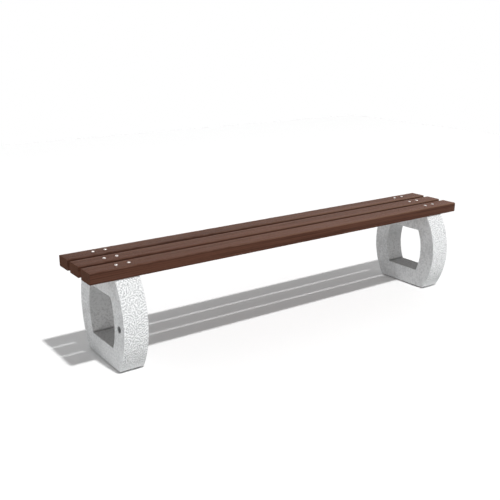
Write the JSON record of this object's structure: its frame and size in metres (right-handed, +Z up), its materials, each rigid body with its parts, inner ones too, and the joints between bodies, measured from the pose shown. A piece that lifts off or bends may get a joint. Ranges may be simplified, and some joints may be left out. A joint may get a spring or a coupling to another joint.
{
  "type": "garden bench",
  "caption": "Backless bench with long timber slats bolted onto barrel-shaped precast concrete legs, each with a window through it.",
  "frame": {"origin": "on the ground under the middle of the seat", "axes": "+X along the seat, +Y from the front edge to the rear, +Z up"},
  "size_m": [2, 0.4, 0.4297],
  "materials": {
    "slat_timber": "dark brown stained timber under a satin clear coat",
    "leg_concrete": "light grey cast concrete, with a white worm-textured relief on the curved faces",
    "rebar_steel": "hot-rolled bar with mill scale",
    "bolt_steel": "bright zinc plated",
    "insert_steel": "yellow zinc plated",
    "pad_rubber": "matt black rubber",
    "socket_steel": "zinc plated",
    "plug_plastic": "dark grey moulded plastic"
  },
  "bodies": {
    "root": {"slat_front": "slat_timber", "slat_middle": "slat_timber", "slat_rear": "slat_timber", "concrete_leg_left": "leg_concrete", "concrete_leg_right": "leg_concrete", "rebar_cage_left": "rebar_steel", "rebar_cage_right": "rebar_steel", "bolt_left_front_outer": "bolt_steel", "bolt_left_front_inner": "bolt_steel", "bolt_left_middle_outer": "bolt_steel", "bolt_left_middle_inner": "bolt_steel", "bolt_left_rear_outer": "bolt_steel", "bolt_left_rear_inner": "bolt_steel", "bolt_right_front_outer": "bolt_steel", "bolt_right_front_inner": "bolt_steel", "bolt_right_middle_outer": "bolt_steel", "bolt_right_middle_inner": "bolt_steel", "bolt_right_rear_outer": "bolt_steel", "bolt_right_rear_inner": "bolt_steel", "insert_left_front_outer": "insert_steel", "insert_left_front_inner": "insert_steel", "insert_left_middle_outer": "insert_steel", "insert_left_middle_inner": "insert_steel", "insert_left_rear_outer": "insert_steel", "insert_left_rear_inner": "insert_steel", "insert_right_front_outer": "insert_steel", "insert_right_front_inner": "insert_steel", "insert_right_middle_outer": "insert_steel", "insert_right_middle_inner": "insert_steel", "insert_right_rear_outer": "insert_steel", "insert_right_rear_inner": "insert_steel", "foot_pad_left_front": "pad_rubber", "foot_pad_left_rear": "pad_rubber", "foot_pad_right_front": "pad_rubber", "foot_pad_right_rear": "pad_rubber", "lifting_socket_left": "socket_steel", "lifting_socket_right": "socket_steel", "socket_plug_left": "plug_plastic", "socket_plug_right": "plug_plastic"}
  },
  "joints": []
}
